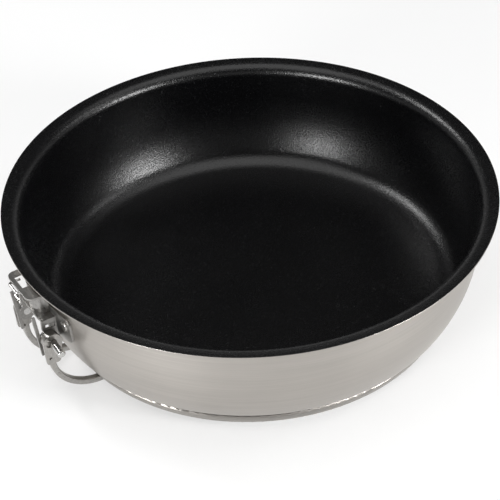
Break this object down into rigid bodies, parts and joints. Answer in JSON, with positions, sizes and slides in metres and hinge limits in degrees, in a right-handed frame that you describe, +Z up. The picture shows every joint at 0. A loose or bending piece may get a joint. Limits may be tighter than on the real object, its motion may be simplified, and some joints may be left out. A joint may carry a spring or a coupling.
{
  "type": "frying pan",
  "caption": "Non-stick steel frying pan with a layered base and a wire loop handle that folds flat under the base and locks with a sprung latch",
  "frame": {"origin": "Pan's axis at the flat underside of the base. With the handle folded the pan stands on the handle, 3.3 mm lower.", "axes": "+X from the pan's axis to the handle hinge, +Y to the side that faces the camera in the picture, +Z up."},
  "size_m": [0.2567, 0.25, 0.0677],
  "materials": {
    "steel_sheet": "brushed round the pan",
    "nonstick": "satin black non-stick coating with fine speckle",
    "aluminium_core": "sealed inside the base",
    "hinge_steel": "pressed sheet, satin",
    "bright_pin": "bright",
    "handle_steel": "bright satin bar"
  },
  "bodies": {
    "pan": {"pan_shell": "steel_sheet", "nonstick_lining": "nonstick", "base_core": "aluminium_core", "base_cap": "steel_sheet", "wall_bracket": "hinge_steel", "bracket_rivets": "hinge_steel", "hinge_pin_near": "bright_pin", "hinge_pin_far": "bright_pin", "spring_housing": "hinge_steel", "guide_post": "hinge_steel", "latch_spring": "bright_pin"},
    "handle": {"handle_loop": "handle_steel", "root_plate_near": "handle_steel", "root_plate_far": "handle_steel"},
    "latch": {"pull_plate": "hinge_steel", "finger_wire": "bright_pin", "lock_fork": "hinge_steel"}
  },
  "joints": [
    {"name": "handle_hinge", "type": "hinge", "parent": "pan", "child": "handle", "pos_m": [0.1224, 0, 0.0344], "axis": [0, -1, 0], "range_deg": [0, 180]},
    {"name": "latch_slide", "type": "slide", "parent": "pan", "child": "latch", "axis": [1, 0, 0], "range_m": [0, 0.0018], "stiffness_N_per_m": 400, "deforming": ["latch_spring"]}
  ]
}
